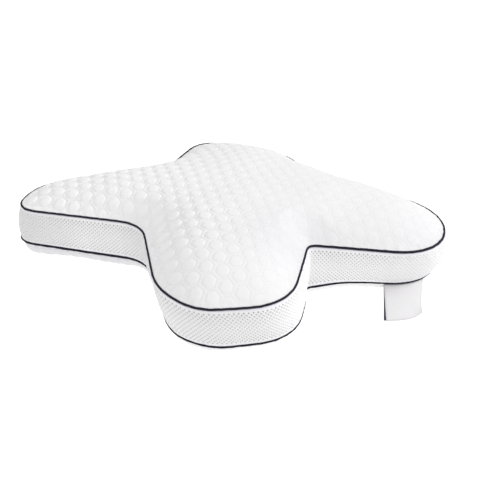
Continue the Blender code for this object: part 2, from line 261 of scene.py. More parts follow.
def rounded_corners():
    """The outline as many short steps: an arc at each corner and a straight run to the next one."""
    places = np.array([(row.x, row.y) for row in OUTLINE])
    shifts = np.array([(row.under_x, row.under_y, row.swell) for row in OUTLINE])
    count = len(OUTLINE)
    arcs = []
    for index, row in enumerate(OUTLINE):
        back = places[index - 1] - places[index]
        ahead = places[(index + 1) % count] - places[index]
        largest = LARGEST_CUT * min(np.linalg.norm(back), np.linalg.norm(ahead))
        back = unit(back)
        ahead = unit(ahead)
        half = math.acos(float(back @ ahead)) / 2
        cut = min(row.radius / math.tan(half), largest)
        radius = cut * math.tan(half)
        centre = places[index] + unit(back + ahead) * radius / math.sin(half)
        first = places[index] + back * cut - centre
        last = places[index] + ahead * cut - centre
        start = math.atan2(first[1], first[0])
        turn = (math.atan2(last[1], last[0]) - start + math.pi) % math.tau - math.pi
        arcs.append((centre, radius, start, turn))
    points = []
    point_shifts = []
    for index, (centre, radius, start, turn) in enumerate(arcs):
        for step in range(ARC_STEPS + 1):
            angle = start + turn * step / ARC_STEPS
            points.append(centre + radius * heading_of(angle))
            point_shifts.append(shifts[index])
        next_centre, next_radius, next_start, _ = arcs[(index + 1) % count]
        begin = points[-1]
        end = next_centre + next_radius * heading_of(next_start)
        for step in range(1, RUN_STEPS):
            share = step / RUN_STEPS
            points.append(begin * (1 - share) + end * share)
            point_shifts.append(shifts[index] * (1 - share) + shifts[(index + 1) % count] * share)
    return np.array(points), np.array(point_shifts)


def blur(values, perimeter, width):
    """Smooths closed rows of values along the outline."""
    frequency = np.fft.rfftfreq(len(values), d=perimeter / len(values))
    damping = np.exp(-2 * (math.pi * frequency * width) ** 2)
    return np.fft.irfft(np.fft.rfft(values, axis=0) * damping[:, None], n=len(values), axis=0)


def smooth_outline():
    """The upper seam as evenly spaced points, and the shift and the swell at each of them."""
    corners = np.hstack(rounded_corners())
    closed = np.vstack((corners, corners[:1]))
    steps = np.linalg.norm(np.diff(closed[:, :2], axis=0), axis=1)
    along = np.concatenate(((0.0,), np.cumsum(steps)))
    perimeter = along[-1]
    stations = np.linspace(0.0, perimeter, DENSE_COUNT, endpoint=False)
    even = np.stack([np.interp(stations, along, row) for row in closed.T], axis=1)
    return blur(even[:, :2], perimeter, CORNER_SMOOTHING), blur(even[:, 2:], perimeter, SHIFT_SMOOTHING)


def outward_normals(curve):
    tangent = unit(np.roll(curve, -1, axis=0) - np.roll(curve, 1, axis=0))
    return np.stack((tangent[:, 1], -tangent[:, 0]), axis=1)


def bulge(level):
    return BAND_BULGE * 4 * level * (1 - level)


class Seams:
    """The two seams and every ring between them, centred on the pillow's box."""

    def __init__(self):
        self.upper, shifts = smooth_outline()
        self.shift = shifts[:, :2]
        self.swell = shifts[:, 2:]
        levels = np.linspace(0, 1, BAND_LEVELS + 1)
        rings = np.vstack([self.dense(level, -max(bulge(level), PIPING_RADIUS)) for level in levels])
        self.upper = self.upper - (rings.min(axis=0) + rings.max(axis=0)) / 2
        middle = self.dense(0.5, 0.0)
        steps = np.linalg.norm(np.roll(middle, -1, axis=0) - middle, axis=1)
        self.along = np.concatenate(((0.0,), np.cumsum(steps)))
        self.perimeter = self.along[-1]

    def dense(self, level, inset):
        """The closed curve at a level from 0, the lower seam, to 1, the upper seam."""
        curve = self.upper + self.shift * (1 - level)
        return curve + outward_normals(curve) * (self.swell * 4 * level * (1 - level) - inset)

    def places(self, count):
        """Evenly spaced places along the seams, as positions in the dense rows."""
        stations = np.arange(count) * self.perimeter / count
        return np.interp(stations, self.along, np.arange(DENSE_COUNT + 1.0))

    def at(self, places, level, inset):
        """Points of the curve at these places. The inset may differ from place to place."""
        curve = self.upper + self.shift * (1 - level)
        both = np.hstack((curve, outward_normals(curve), self.swell * 4 * level * (1 - level)))
        both = np.vstack((both, both[:1]))
        low = np.floor(places).astype(int) % DENSE_COUNT
        share = (places - np.floor(places))[:, None]
        mixed = both[low] * (1 - share) + both[low + 1] * share
        outward = mixed[:, 4] - np.broadcast_to(inset, len(places))
        return mixed[:, :2] + unit(mixed[:, 2:4]) * outward[:, None]


def survey(points, rim):
    """For each point inside the rim: its fullness, which is the harmonic mean of its distances to the
    rim in all directions, its least distance to the rim, and the nearest rim point."""
    middle = (rim + np.roll(rim, -1, axis=0)) / 2
    step = np.roll(rim, -1, axis=0) - rim
    across = np.stack((step[:, 1], -step[:, 0]), axis=1)
    found = []
    block = 2000  # points at a time, so that the tables stay small
    for start in range(0, len(points), block):
        part = points[start:start + block]
        away_x = middle[None, :, 0] - part[:, None, 0]
        away_y = middle[None, :, 1] - part[:, None, 1]
        squared = away_x * away_x + away_y * away_y
        closest = squared.argmin(axis=1)
        least = np.sqrt(squared[np.arange(len(part)), closest])
        facing = away_x * across[:, 0] + away_y * across[:, 1]
        total = (facing / (squared * np.sqrt(squared))).sum(axis=1)
        fullness = np.minimum(math.tau / np.maximum(total, 1e-9), math.pi * least)
        found.append((fullness, least, closest))
    return [np.concatenate(part) for part in zip(*found)]


def inside(points, rim):
    result = np.zeros(len(points), bool)
    for (x0, y0), (x1, y1) in zip(rim, np.roll(rim, -1, axis=0)):
        if y0 == y1:
            continue
        crosses = (y0 > points[:, 1]) != (y1 > points[:, 1])
        hits = points[:, 0] < (x1 - x0) * (points[:, 1] - y0) / (y1 - y0) + x0
        result ^= crosses & hits
    return result


def waves(random, count, longest, shortest):
    """Directions and phases of slow waves over the plan, of lengths between these two."""
    lengths = np.exp(random.uniform(math.log(shortest), math.log(longest), count))
    headings = random.uniform(0, math.tau, count)
    phases = random.uniform(0, math.tau, count)
    vectors = np.stack((np.cos(headings), np.sin(headings)), axis=1) * (math.tau / lengths)[:, None]
    return vectors, phases


def sum_of_waves(points, vectors, phases):
    return np.sin(points @ vectors.T + phases).sum(axis=1) / math.sqrt(len(phases) / 2)


def seam_noise(random, places, height, fewest, most, count):
    """Uneven waves along a seam that close on themselves, from this few to this many turns."""
    turns = random.integers(fewest, most, count)
    phases = random.uniform(0, math.tau, count)
    angle = places[:, None] / DENSE_COUNT * math.tau
    return np.sin(angle * turns + phases).sum(axis=1) / math.sqrt(count / 2) * height


def cell_axes():
    """The directions from a cell's middle to two of its neighbours'."""
    return heading_of(CELL_ANGLE), heading_of(CELL_ANGLE + math.pi / 3)


def cell_depth(points):
    """Distance of each point to the border of its honeycomb cell, with rounded corners."""
    base = np.stack(cell_axes(), axis=1) * CELL_PITCH
    local = np.linalg.solve(base, (points - CELL_ORIGIN).T).T
    corner = np.floor(local)
    best = np.full(len(points), np.inf)
    offset = np.zeros_like(points)
    for i in (0, 1):
        for j in (0, 1):
            candidate = (local - corner - (i, j)) @ base.T
            squared = (candidate ** 2).sum(axis=1)
            closer = squared < best
            best = np.where(closer, squared, best)
            offset[closer] = candidate[closer]
    angles = CELL_ANGLE + np.arange(6) * math.pi / 3
    to_border = CELL_PITCH / 2 - offset @ np.stack((np.cos(angles), np.sin(angles)))
    soft = np.exp(-to_border / CELL_ROUNDING).sum(axis=1)
    return -CELL_ROUNDING * np.log(soft)


def knit_relief(points, drift):
    """Height of the blistered knit over its grooves, and how much of it is blister, from 0 to 1, which
    sets the painted shade in the grooves.
    """
    depth = cell_depth(points + drift)
    puff = smooth_step((depth - PUFF_START) / PUFF_WIDTH)
    dome = 1 - (1 - np.clip(depth / (CELL_PITCH / 2), 0, 1)) ** 2
    rib = np.exp(-(depth / RIDGE_WIDTH) ** 2)
    height = PUFF_HEIGHT * (PUFF_SHARE * puff + DOME_SHARE * dome) + RIDGE_HEIGHT * rib
    return height, np.clip(puff + RIDGE_SHADE * rib, 0, 1)


def new_mesh(name, points, faces, smooth=True):
    """A mesh object from an array of points and a list of arrays of faces, each with one face size."""
    mesh = bpy.data.meshes.new(name)
    mesh.vertices.add(len(points))
    mesh.vertices.foreach_set("co", np.asarray(points, np.float32).ravel())
    corners = np.concatenate([block.ravel() for block in faces])
    sizes = np.concatenate([np.full(len(block), block.shape[1]) for block in faces])
    starts = np.concatenate(((0,), np.cumsum(sizes)[:-1]))
    mesh.loops.add(len(corners))
    mesh.loops.foreach_set("vertex_index", corners.astype(np.int32))
    mesh.polygons.add(len(sizes))
    mesh.polygons.foreach_set("loop_start", starts.astype(np.int32))
    mesh.polygons.foreach_set("use_smooth", np.full(len(sizes), smooth))
    mesh.update(calc_edges=True)
    mesh.validate()
    item = bpy.data.objects.new(name, mesh)
    bpy.context.scene.collection.objects.link(item)
    return item


def set_value(item, name, values):
    """A number at each vertex that the piece's material reads."""
    layer = item.data.attributes.new(name, "FLOAT", "POINT")
    layer.data.foreach_set("value", np.asarray(values, np.float32))


def set_map(item, places):
    """A map of the piece in millimetres, one place for each vertex."""
    layer = item.data.uv_layers.new(name="cloth")
    corners = np.empty(len(item.data.loops), np.int32)
    item.data.loops.foreach_get("vertex_index", corners)
    layer.data.foreach_set("uv", np.asarray(places, np.float32)[corners].ravel())


def ring_faces(first, second, count):
    """Quads between two closed rings that start at these vertex numbers."""
    here = np.arange(count)
    after = (here + 1) % count
    return np.stack((first + here, first + after, second + after, second + here), axis=1)


class Surface:
    """A material's nodes, with short calls for the usual ones."""

    def __init__(self, name, roughness, sheen):
        self.material = bpy.data.materials.new(name)
        self.material.use_nodes = True
        self.nodes = self.material.node_tree.nodes
        self.links = self.material.node_tree.links
        self.set("Roughness", roughness)
        self.set("Sheen Weight", sheen)
        self.set("Sheen Roughness", 0.5)
        self.set("Specular IOR Level", 0.3)

    def feed(self, socket, value):
        """Links the output of another node, or sets a number or a colour."""
        if isinstance(value, bpy.types.NodeSocket):
            self.links.new(value, socket)
        else:
            socket.default_value = (*value, 1.0) if isinstance(value, tuple) else value

    def set(self, name, value):
        self.feed(self.nodes["Principled BSDF"].inputs[name], value)

    def node(self, kind, **inputs):
        node = self.nodes.new("ShaderNode" + kind)
        for name, value in inputs.items():
            self.feed(node.inputs[name], value)
        return node

    def math(self, operation, first, second=0.0, third=0.0):
        node = self.node("Math")
        node.operation = operation
        for socket, value in zip(node.inputs, (first, second, third)):
            self.feed(socket, value)
        return node.outputs[0]

    def wave(self, place, pitch):
        """Fine ribs of a weave. The pitch is in millimetres, as on the piece's map."""
        return self.math("SINE", self.math("MULTIPLY", place, math.tau / pitch))

    def value(self, name):
        """A number that the piece has at each vertex."""
        node = self.node("Attribute")
        node.attribute_name = name
        return node.outputs["Fac"]

    def cloth_map(self):
        node = self.node("UVMap")
        node.uv_map = "cloth"
        return self.node("SeparateXYZ", Vector=node.outputs[0]).outputs[:2]

    def noise(self, scale, detail):
        place = self.node("TexCoord").outputs["Object"]
        return self.node("TexNoise", Vector=place, Scale=scale, Detail=detail).outputs["Fac"]

    def range(self, value, low, high, most):
        """Rises from 0 to the most between these two values."""
        node = self.node("MapRange")
        for socket, number in zip(node.inputs, (value, low, high, 0.0, most)):
            self.feed(socket, number)
        return node.outputs[0]

    def mix(self, factor, first, second):
        node = self.node("Mix")
        node.data_type = "RGBA"
        for socket, value in zip(("Factor", 6, 7), (factor, first, second)):
            self.feed(node.inputs[socket], value)
        return node.outputs[2]

    def bump(self, height, depth, strength, under=None):
        """Raises the surface by this many metres where the height is 1."""
        node = self.node("Bump", Height=height, Distance=depth, Strength=strength)
        if under is not None:
            self.links.new(under, node.inputs["Normal"])
        return node.outputs[0]

    def finish(self, colour, normal):
        self.set("Base Color", colour)
        self.set("Normal", normal)
        return self.material


def knit_stitches(surface):
    """Rows of small V shaped stitches: the height of the yarn, from 0 to 1."""
    across, up = surface.cloth_map()
    wale = surface.math("FRACT", surface.math("DIVIDE", across, STITCH_ACROSS))
    slant = surface.math("ABSOLUTE", surface.math("SUBTRACT", wale, 0.5))
    rise = surface.math("DIVIDE", up, STITCH_UP)
    course = surface.math("MULTIPLY_ADD", slant, STITCH_SLANT, rise)
    loop = surface.math("SINE", surface.math("MULTIPLY", course, math.tau))
    yarn = surface.math("MULTIPLY_ADD", loop, 0.5, 0.5)
    edge = surface.math("POWER", surface.math("MULTIPLY", slant, 2.0), 4.0)
    gap = surface.math("SUBTRACT", 1.0, edge)
    return surface.math("MULTIPLY", yarn, gap)


def knit_material():
    """White blistered knit: fine stitches and a faint uneven tone, a little painted shade in the
    grooves, painted shade over the top's yarn and painted shade under the pillow on the bottom panel.
    """
    surface = Surface("blistered knit", 0.82, 0.25)
    stitches = knit_stitches(surface)
    # Painted shade in the grooves: the yarn is a little darker where there is no blister
    painted_shading = surface.mix(surface.value("relief"), (0.888, 0.879, 0.883), (0.914, 0.904, 0.908))
    cloud = surface.noise(28.0, 4.0)
    fuzz = surface.noise(1500.0, 3.0)
    dull = surface.mix(cloud, (0.868, 0.859, 0.865), (0.904, 0.894, 0.898))
    # The colour of the painted shade on the top and under the pillow on the bottom panel
    painted_shade = surface.mix(cloud, (0.700, 0.692, 0.720), (0.740, 0.732, 0.760))
    colour = surface.mix(surface.range(cloud, 0.35, 0.75, 0.30), painted_shading, dull)
    colour = surface.mix(surface.value("painted_shade"), colour, painted_shade)
    thread = surface.mix(stitches, (0.760, 0.752, 0.758), (0.910, 0.900, 0.904))
    colour = surface.mix(0.22, colour, thread)
    normal = surface.bump(stitches, 0.00022, 0.5)
    normal = surface.bump(fuzz, 0.00012, 0.35, normal)
    return surface.finish(colour, normal)


def mesh_material():
    """White spacer mesh: bright yarns round holes darkened with painted shade, painted light and shade
    along the band in the yarn, a faint lavender margin beside the seams.
    """
    surface = Surface("spacer mesh", 0.75, 0.20)
    across, up = surface.cloth_map()
    ribs = surface.wave(across, 0.9)
    bars = surface.wave(up, 0.75)
    yarns = surface.math("MULTIPLY_ADD", surface.math("ADD", ribs, bars), 0.25, 0.5)
    # How much painted shade each point of a hole gets
    pit = surface.value("pit")
    margin = surface.value("margin")
    cloud = surface.noise(22.0, 3.0)
    # The yarn's two colours, mixed by the painted light and shade along the band
    dull = surface.mix(cloud, (0.660, 0.653, 0.664), (0.700, 0.693, 0.704))
    bright = surface.mix(cloud, (0.900, 0.892, 0.898), (0.950, 0.942, 0.947))
    yarn = surface.mix(surface.value("painted_shading"), dull, bright)
    edge = surface.mix(cloud, (0.800, 0.790, 0.840), (0.860, 0.850, 0.895))
    face = surface.mix(margin, yarn, edge)
    # Painted shade in the holes
    pit_painted_shade = surface.mix(pit, (0.870, 0.862, 0.868), (0.320, 0.317, 0.323))
    colour = surface.mix(surface.range(pit, 0.05, 0.5, 1.0), face, pit_painted_shade)
    normal = surface.bump(yarns, 0.00016, 0.4)
    normal = surface.bump(surface.noise(1800.0, 2.0), 0.0001, 0.3, normal)
    return surface.finish(colour, normal)


def piping_material():
    """Dark navy tape cut on the bias: a slanting twill with slightly paler high threads."""
    surface = Surface("piping tape", 0.62, 0.08)
    surface.set("Sheen Tint", (0.45, 0.45, 0.70))
    surface.set("Specular IOR Level", 0.12)
    along, around = surface.cloth_map()
    twill = surface.wave(surface.math("ADD", along, around), 0.8)
    cross = surface.wave(surface.math("SUBTRACT", along, around), 1.1)
    weave = surface.math("MULTIPLY_ADD", surface.math("ADD", twill, cross), 0.25, 0.5)
    cloud = surface.noise(60.0, 3.0)
    deep = surface.mix(cloud, (0.005, 0.005, 0.011), (0.009, 0.009, 0.017))
    pale = surface.mix(cloud, (0.013, 0.013, 0.026), (0.020, 0.020, 0.036))
    colour = surface.mix(weave, deep, pale)
    normal = surface.bump(weave, 0.00018, 0.6)
    return surface.finish(colour, normal)


def satin_material(name, low, high):
    """Woven satin ribbon: fine ribs across it, soft streaks and a slightly darker selvedge."""
    surface = Surface(name, 0.42, 0.2)
    rib = surface.math("MULTIPLY_ADD", surface.wave(surface.cloth_map()[1], 0.55), 0.5, 0.5)
    streak = surface.noise(90.0, 3.0)
    colour = surface.mix(0.4, surface.mix(streak, low, high), surface.mix(rib, low, high))
    border = surface.mix(rib, tuple(0.88 * part for part in low), tuple(0.94 * part for part in high))
    colour = surface.mix(surface.value("edge"), colour, border)
    normal = surface.bump(rib, 0.00010, 0.5)
    normal = surface.bump(surface.noise(900.0, 2.0), 0.00008, 0.25, normal)
    return surface.finish(colour, normal)


def floor_material():
    surface = Surface("pale floor", 0.9, 0.0)
    surface.set("Emission Color", (1.0, 1.0, 1.0))
    surface.set("Emission Strength", FLOOR_GLOW)
    cloud = surface.noise(3.0, 2.0)
    return surface.finish(surface.mix(cloud, (0.115, 0.115, 0.115), (0.125, 0.125, 0.125)),
                          surface.bump(surface.noise(400.0, 2.0), 0.0001, 0.05))


def net(spacing, rim, reserve):
    """Points of a triangular net in line with the honeycomb, over the rim's box and this far round."""
    low = rim.min(axis=0) - reserve
    high = rim.max(axis=0) + reserve
    reach = int(np.abs((low, high)).max() / spacing)
    row, side = (axis * spacing for axis in cell_axes())
    steps = np.arange(-2 * reach, 2 * reach)
    i, j = np.meshgrid(steps, steps)
    points = i.reshape(-1, 1) * row + j.reshape(-1, 1) * side + CELL_ORIGIN
    return points[((points > low) & (points < high)).all(axis=1)]


def even_field(rim):
    """Evenly spread points inside the rim."""
    points = net(UNDER_SPACING, rim, 0.0)
    return points[inside(points, rim)]


def drift_at(points, drift):
    """How far the knit's cells wander from an exact honeycomb."""
    return np.stack([sum_of_waves(points, *wave) for wave in drift], axis=1) * CELL_DRIFT


def cell_field(rim, drift):
    """Points that follow the honeycomb: along the cells' borders, on rings inside each, and middles."""
    middles = net(CELL_PITCH, rim, CELL_PITCH)
    half = CELL_PITCH / 2
    places = [np.zeros((1, 2))]

    def along_side(turn, apothem, count, start):
        outward = heading_of(CELL_ANGLE + turn * math.pi / 3)
        sideways = np.array((-outward[1], outward[0]))
        spread = ((np.arange(count) + start) / count * 2 - 1) * apothem / math.sqrt(3)
        places.append(outward * apothem + spread[:, None] * sideways)

    # Three sides and two corners of each border are enough, as the neighbours add the others
    for turn in range(3):
        along_side(turn, half, BORDER_POINTS, 0.5)
    for turn in range(6):
        for depth, count in CELL_RINGS:
            along_side(turn, half - depth, count, 0.0)
    for turn in (0.5, 1.5):
        corner = heading_of(CELL_ANGLE + turn * math.pi / 3)
        places.append(corner[None] * CELL_PITCH / math.sqrt(3))
    points = (middles[:, None] + np.vstack(places)[None]).reshape(-1, 2)
    points = points - drift_at(points - drift_at(points, drift), drift)
    return points[inside(points, rim)]


class Panel:
    """The top or the bottom panel: a flat net of points and triangles inside a seam, and the survey
    that its heights come from."""

    def __init__(self, seams, level, field_in):
        self.count = int(seams.perimeter / RIM_SPACING)
        self.places = seams.places(self.count)
        self.rim = seams.dense(level, COVER_TUCK)[::RIM_SKIP]
        rows = [seams.at(self.places, level, COVER_TUCK + inset) for inset in (0.0, *RIM_ROWS)]
        field = field_in(rows[-1])
        innermost = seams.dense(level, COVER_TUCK + RIM_ROWS[-1])[::2 * RIM_SKIP]
        clear = survey(field, innermost)[1]
        field = field[clear > NET_CLEARANCE * RIM_SPACING]
        self.points = np.vstack(rows + [field])
        last = len(self.points) - len(field) - self.count
        self.quads = np.vstack([ring_faces(start, start + self.count, self.count)
                                for start in range(0, last, self.count)])
        flat = [Vector(place) for place in self.points[last:]]
        _, _, faces, origins, _, _ = delaunay_2d_cdt(flat, [], [list(range(self.count))], 1, 1e-7)
        index = np.array([origin[0] for origin in origins])
        self.triangles = index[np.array(faces)] + last
        self.fullness, self.distance, self.nearest = survey(self.points, self.rim)


def nearness(points, place):
    """1 at the place, falling to 0 round it."""
    return np.exp(-np.sum((points - place) ** 2, axis=1) / PLACE_REACH ** 2)


def unevenness(panel, random, sway_waves):
    """How free the knit is of the seam, the foam's slow sway, and the puckers beside the seam."""
    fade = smooth_step((panel.distance - FADE_START) / FADE_WIDTH)
    sway = sum_of_waves(panel.points, *waves(random, *sway_waves)) * SWAY_HEIGHT
    pucker = seam_noise(random, panel.nearest * RIM_SKIP, *PUCKER)
    near = np.exp(-(panel.distance / PUCKER_REACH) ** 2) * smooth_step(panel.distance / PUCKER_START)
    return fade, sway, near * pucker


def top_heights(panel, drift, random):
    """Heights of the crowned top, and how much of each point is blister, for the painted shade in its
    grooves.
    """
    points = panel.points
    relief, blister = knit_relief(points, drift_at(points, drift))
    loose = np.clip(LOOSE_SHARE + points @ LOOSE_LEAN, *LOOSE_RANGE)
    loose += FLANK_MORE * nearness(points, FLANK_PLACE)
    sag = 1 - RIM_SAG * np.exp(-panel.fullness / SAG_SPREAD)
    swell = CROWN_LIMIT * np.tanh(panel.fullness / CROWN_SPREAD) * sag
    fade, sway, pucker = unevenness(panel, random, TOP_SWAY_WAVES)
    knit = (relief - RELIEF_SINK) * loose
    heights = SEAM_HIGH + RIM_RISE + swell + fade * (knit + sway) + pucker
    return heights, fade * blister + (1 - fade)


def under_surface(panel, random):
    """A quarter of an ellipse from the rim down to the flat part. On the slope the blisters stand
    outward. Where the pillow rests their tops press flat and their grooves stay above the surface."""
    points = panel.points
    relief, blister = knit_relief(points, 0.0)
    flat_from = np.maximum(FLAT_FULLNESS + points @ FLAT_LEAN, FLAT_LEAST)
    share = np.minimum(panel.fullness / flat_from, 1.0)
    height = SEAM_LOW - RIM_RISE
    base = height * (1 - np.sqrt(1 - (1 - share) ** 2))
    groove = np.clip(1.0 - relief / PUFF_HEIGHT, 0, 1) * PUFF_HEIGHT * PRESSED_GROOVE
    free = smooth_step((1 - share) / FREE_SHARE)
    fade, sway, pucker = unevenness(panel, random, UNDER_SWAY_WAVES)
    proud = free * (fade * (relief - RELIEF_SINK + sway) + pucker)
    steep = height * (1 - share) / np.sqrt(np.maximum(1 - (1 - share) ** 2, FLATTEST))
    slope = steep * share / np.maximum(panel.distance, NEAREST)
    outward = panel.rim[panel.nearest] - points
    outward = outward / np.maximum(panel.distance, TOUCHING)[:, None]
    length = np.sqrt(1 + slope * slope)
    places = points + outward * (proud * slope / length)[:, None]
    heights = np.maximum(base - proud / length + (1 - free) * fade * groove, 0.0)
    return np.column_stack((places, heights)), fade * blister + (1 - fade)


def make_cover(seams, material):
    """The filled pillow in its knit: top panel, drawn-in side behind the band, bottom panel."""
    random = np.random.default_rng(11)
    drift = [waves(random, *DRIFT_WAVES) for _ in range(2)]
    top = Panel(seams, 1, lambda rim: cell_field(rim, drift))
    under = Panel(seams, 0, even_field)
    top_z, top_shade = top_heights(top, drift, random)
    under_points, under_shade = under_surface(under, random)
    points = [np.column_stack((top.points, top_z)), under_points]
    shades = [top_shade, under_shade]
    faces = [top.quads, top.triangles]
    shift = len(top.points)
    faces += [under.quads[:, ::-1] + shift, under.triangles[:, ::-1] + shift]
    total = shift + len(under.points)
    row = 0
    for level in SIDE_LEVELS:
        inset = BACKING + SIDE_GAP - bulge(level)
        ring = seams.at(top.places, level, inset)
        height = SEAM_LOW + BAND_HEIGHT * level
        points.append(np.column_stack((ring, np.full(len(ring), height))))
        shades.append(np.ones(len(ring)))
        faces.append(ring_faces(total, row, top.count))
        row = total
        total += top.count
    faces.append(ring_faces(shift, row, top.count))
    points = np.vstack(points)
    cover = new_mesh("knit_cover", points, faces)
    # How much of each point is blister, which sets the painted shade in the grooves
    set_value(cover, "relief", np.concatenate(shades))
    # Painted shade on the top's yarn, from the left wing rightwards and round the listed places
    painted_shade = PAINTED_SHADE_SHARE * smooth_step((points[:, 0] - PAINTED_SHADE_FROM) / PAINTED_SHADE_FADE)
    for x, y, more in PAINTED_SHADE_PLACES:
        painted_shade += more * nearness(points[:, :2], (x, y))
    # Painted shade under the pillow, lighter towards the right
    lighter = UNDER_LIGHTER * smooth_step((under.points[:, 0] - UNDER_FROM) / UNDER_FADE)
    painted_shade[shift:shift + len(under.points)] = 1 - lighter
    # Painted shade on the top and under the pillow
    set_value(cover, "painted_shade", painted_shade)
    turn = np.stack((heading_of(CELL_ANGLE), heading_of(CELL_ANGLE + math.pi / 2)), axis=1)
    set_map(cover, (points[:, :2] @ turn) / MM)
    cover.data.materials.append(material)
    return cover


class Band:
    """The band's outer face as a function of where along it and how high up it a point lies."""

    def __init__(self, seams, random):
        self.seams = seams
        self.low = SEAM_LOW + BAND_INSET
        self.high = SEAM_HIGH - BAND_INSET
        grain = np.arange(DENSE_COUNT + 0.0)
        self.slow = seam_noise(random, grain, *BAND_SWAY)
        self.near_top = seam_noise(random, grain, *WRINKLE)
        self.near_low = seam_noise(random, grain, *WRINKLE)

    def look_up(self, rows, places):
        return np.interp(places, np.arange(DENSE_COUNT), rows, period=DENSE_COUNT)

    def points(self, places, height, proud):
        """Points at these places, all at one height, this far proud of the band's face."""
        level = (height - SEAM_LOW) / BAND_HEIGHT
        from_top = max(self.high - height, 0.0)
        from_low = max(height - self.low, 0.0)
        slant = WRINKLE_SLANT * (level - 0.5)
        sway = self.look_up(self.slow, places + slant) * 4 * level * (1 - level)
        top = self.look_up(self.near_top, places + slant * SEAM_SLANT)
        low = self.look_up(self.near_low, places - slant * SEAM_SLANT)
        top = top * math.exp(-(from_top / WRINKLE_REACH) ** 2)
        low = low * math.exp(-(from_low / WRINKLE_REACH) ** 2)
        hold = min(1.0, from_top / WRINKLE_START, from_low / WRINKLE_START)
        ring = self.seams.at(places, level, -bulge(level) - proud - sway - (top + low) * hold)
        return np.column_stack((ring, np.full(len(places), height)))


def tip_shares(band, places):
    """How much painted shade the holes get: it fades towards both wing tips."""
    across = band.points(places, SEAM_HIGH - BAND_HEIGHT / 2, 0.0)[:, 0]
    left = smooth_step((LEFT_TIP - across) / TIP_FADE)
    right = smooth_step((across - RIGHT_TIP) / TIP_FADE)
    return 1 - LEFT_FADES * left - RIGHT_FADES * right


